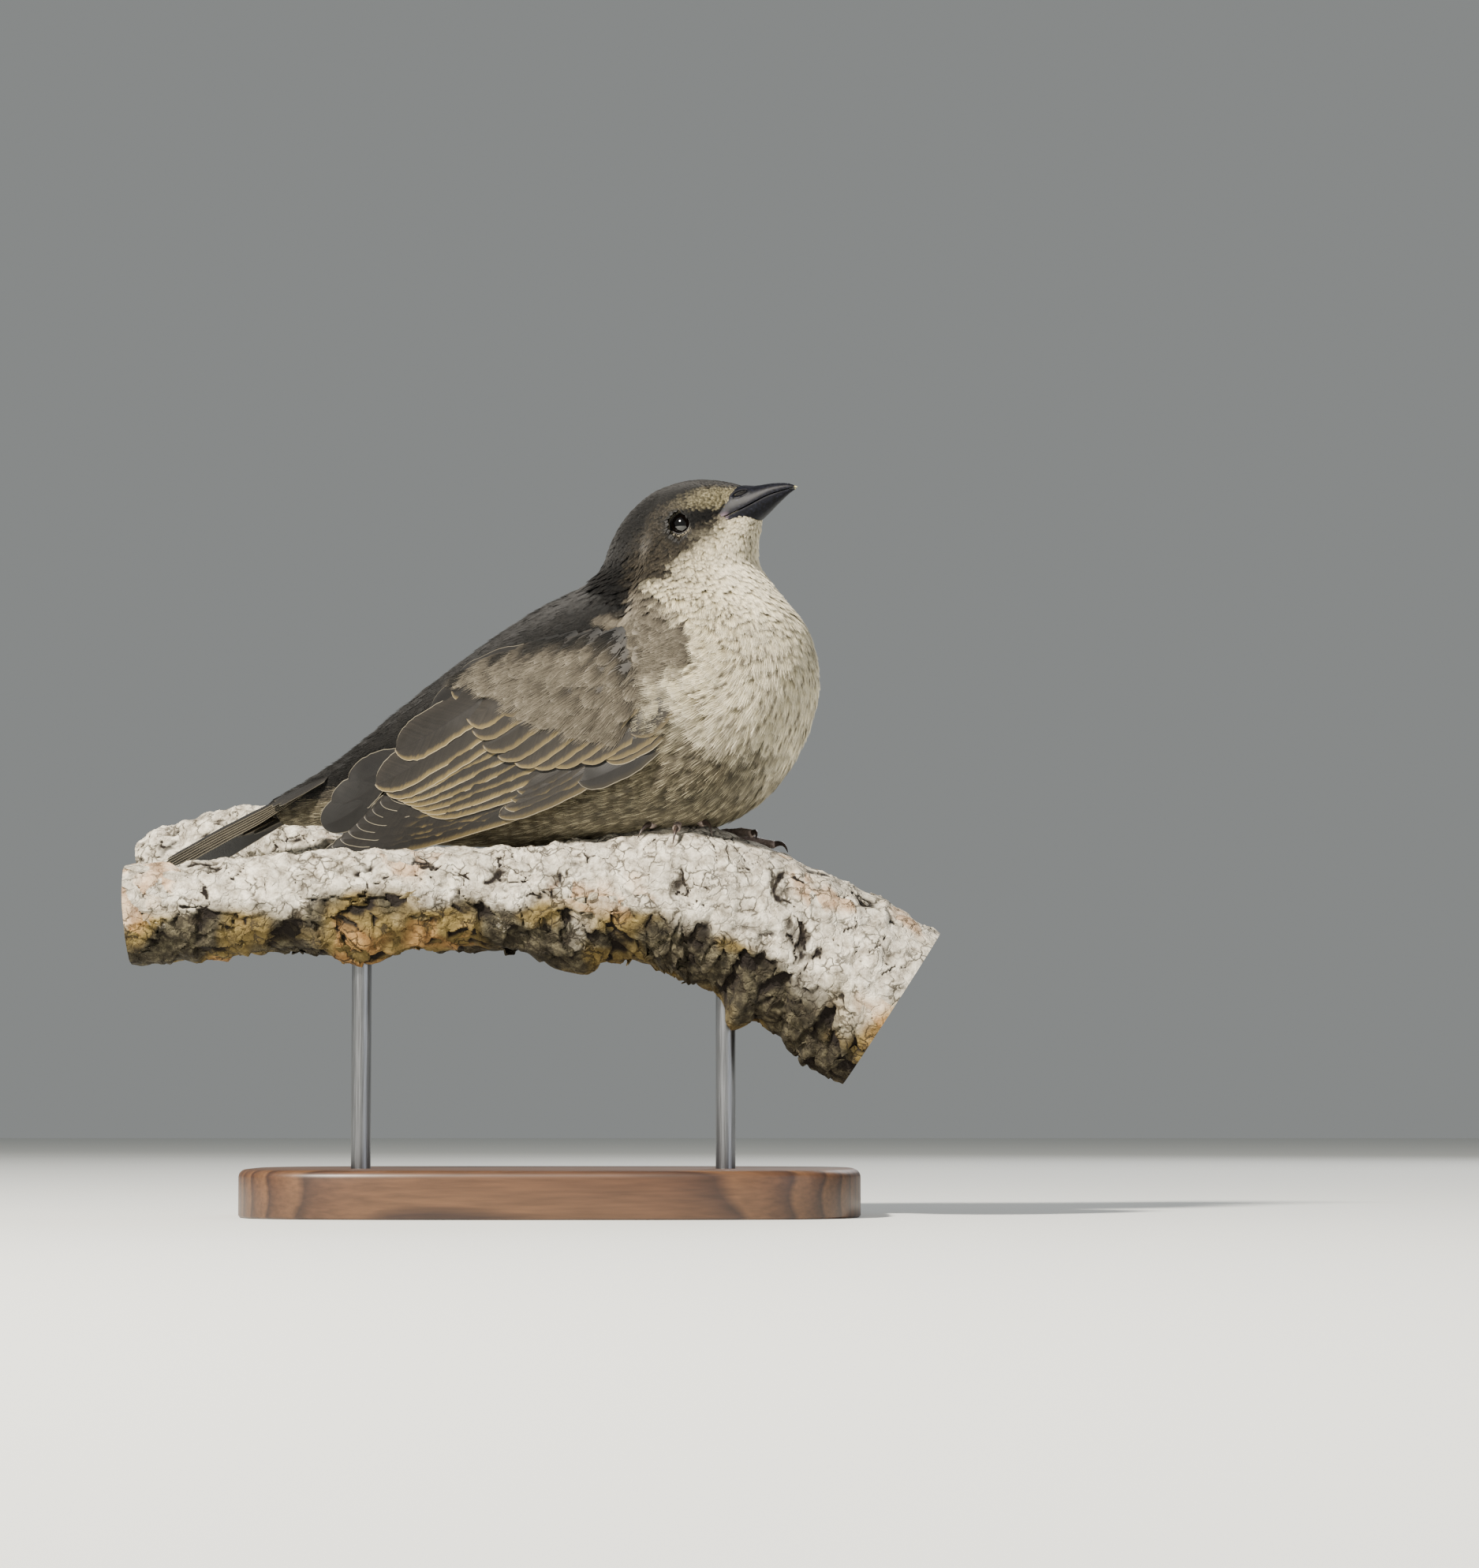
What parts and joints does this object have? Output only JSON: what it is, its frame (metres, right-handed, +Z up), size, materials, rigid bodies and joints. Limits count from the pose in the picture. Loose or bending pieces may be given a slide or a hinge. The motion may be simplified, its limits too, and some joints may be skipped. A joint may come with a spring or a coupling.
{
  "type": "starling on perch",
  "caption": "Life-size still model of a young starling crouched on a cut length of forked branch, held by rods on a flat base.",
  "frame": {"origin": "middle of the base's underside, at the level it stands on", "axes": "+X along the perch towards the end that the bird faces, +Z up, -Y towards the side from which the bird's right flank shows"},
  "size_m": [0.2144, 0.1374, 0.1867],
  "materials": {
    "plumage_pale": "soft matte feathers",
    "plumage_brown": "soft matte feathers",
    "wing_brown": "silky flight feathers",
    "bill_horn": "satin horn",
    "eye_dark": "wet gloss",
    "foot_skin": "dry scaled skin and dark claws",
    "bark": "rough flaking bark",
    "base_wood": "satin dark stained wood",
    "rod_steel": "brushed"
  },
  "bodies": {
    "root": {"torso": "plumage_pale", "neck": "plumage_pale", "head": "plumage_brown", "bill_upper": "bill_horn", "bill_lower": "bill_horn", "eye_left": "eye_dark", "eye_right": "eye_dark", "wing_left": "wing_brown", "wing_right": "wing_brown", "tail": "wing_brown", "foot_left": "foot_skin", "foot_right": "foot_skin", "perch_branch": "bark", "perch_limb": "bark", "stand_base": "base_wood", "stand_rod_front": "rod_steel", "stand_rod_rear": "rod_steel"}
  },
  "joints": []
}
